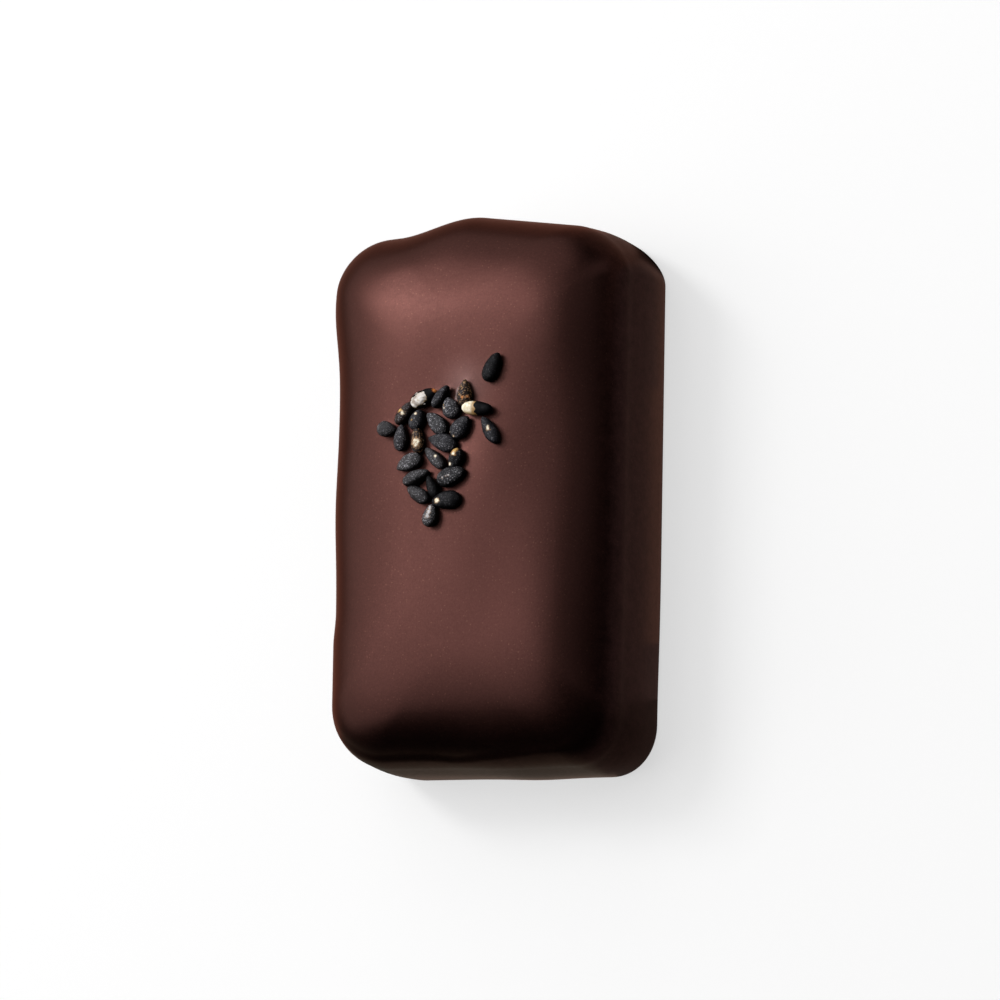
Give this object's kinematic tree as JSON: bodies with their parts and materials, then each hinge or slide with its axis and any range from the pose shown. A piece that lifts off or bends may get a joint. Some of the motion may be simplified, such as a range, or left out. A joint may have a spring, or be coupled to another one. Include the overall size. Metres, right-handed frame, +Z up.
{
  "type": "filled chocolate",
  "caption": "Bite-size bar of filled dark chocolate with a flat foot, rounded shoulders and a small cluster of black sesame seeds set into its top.",
  "frame": {"origin": "middle of the bounding box's bottom face, on the surface that the chocolate lies on", "axes": "+Z up, +Y along the long side towards the end with the stepped edge, +X across"},
  "size_m": [0.0288, 0.05, 0.0155],
  "materials": {
    "dark_chocolate": "satin",
    "black_sesame": "satin",
    "sesame_kernel": "matte"
  },
  "bodies": {
    "root": {"chocolate": "dark_chocolate"}
  },
  "joints": []
}
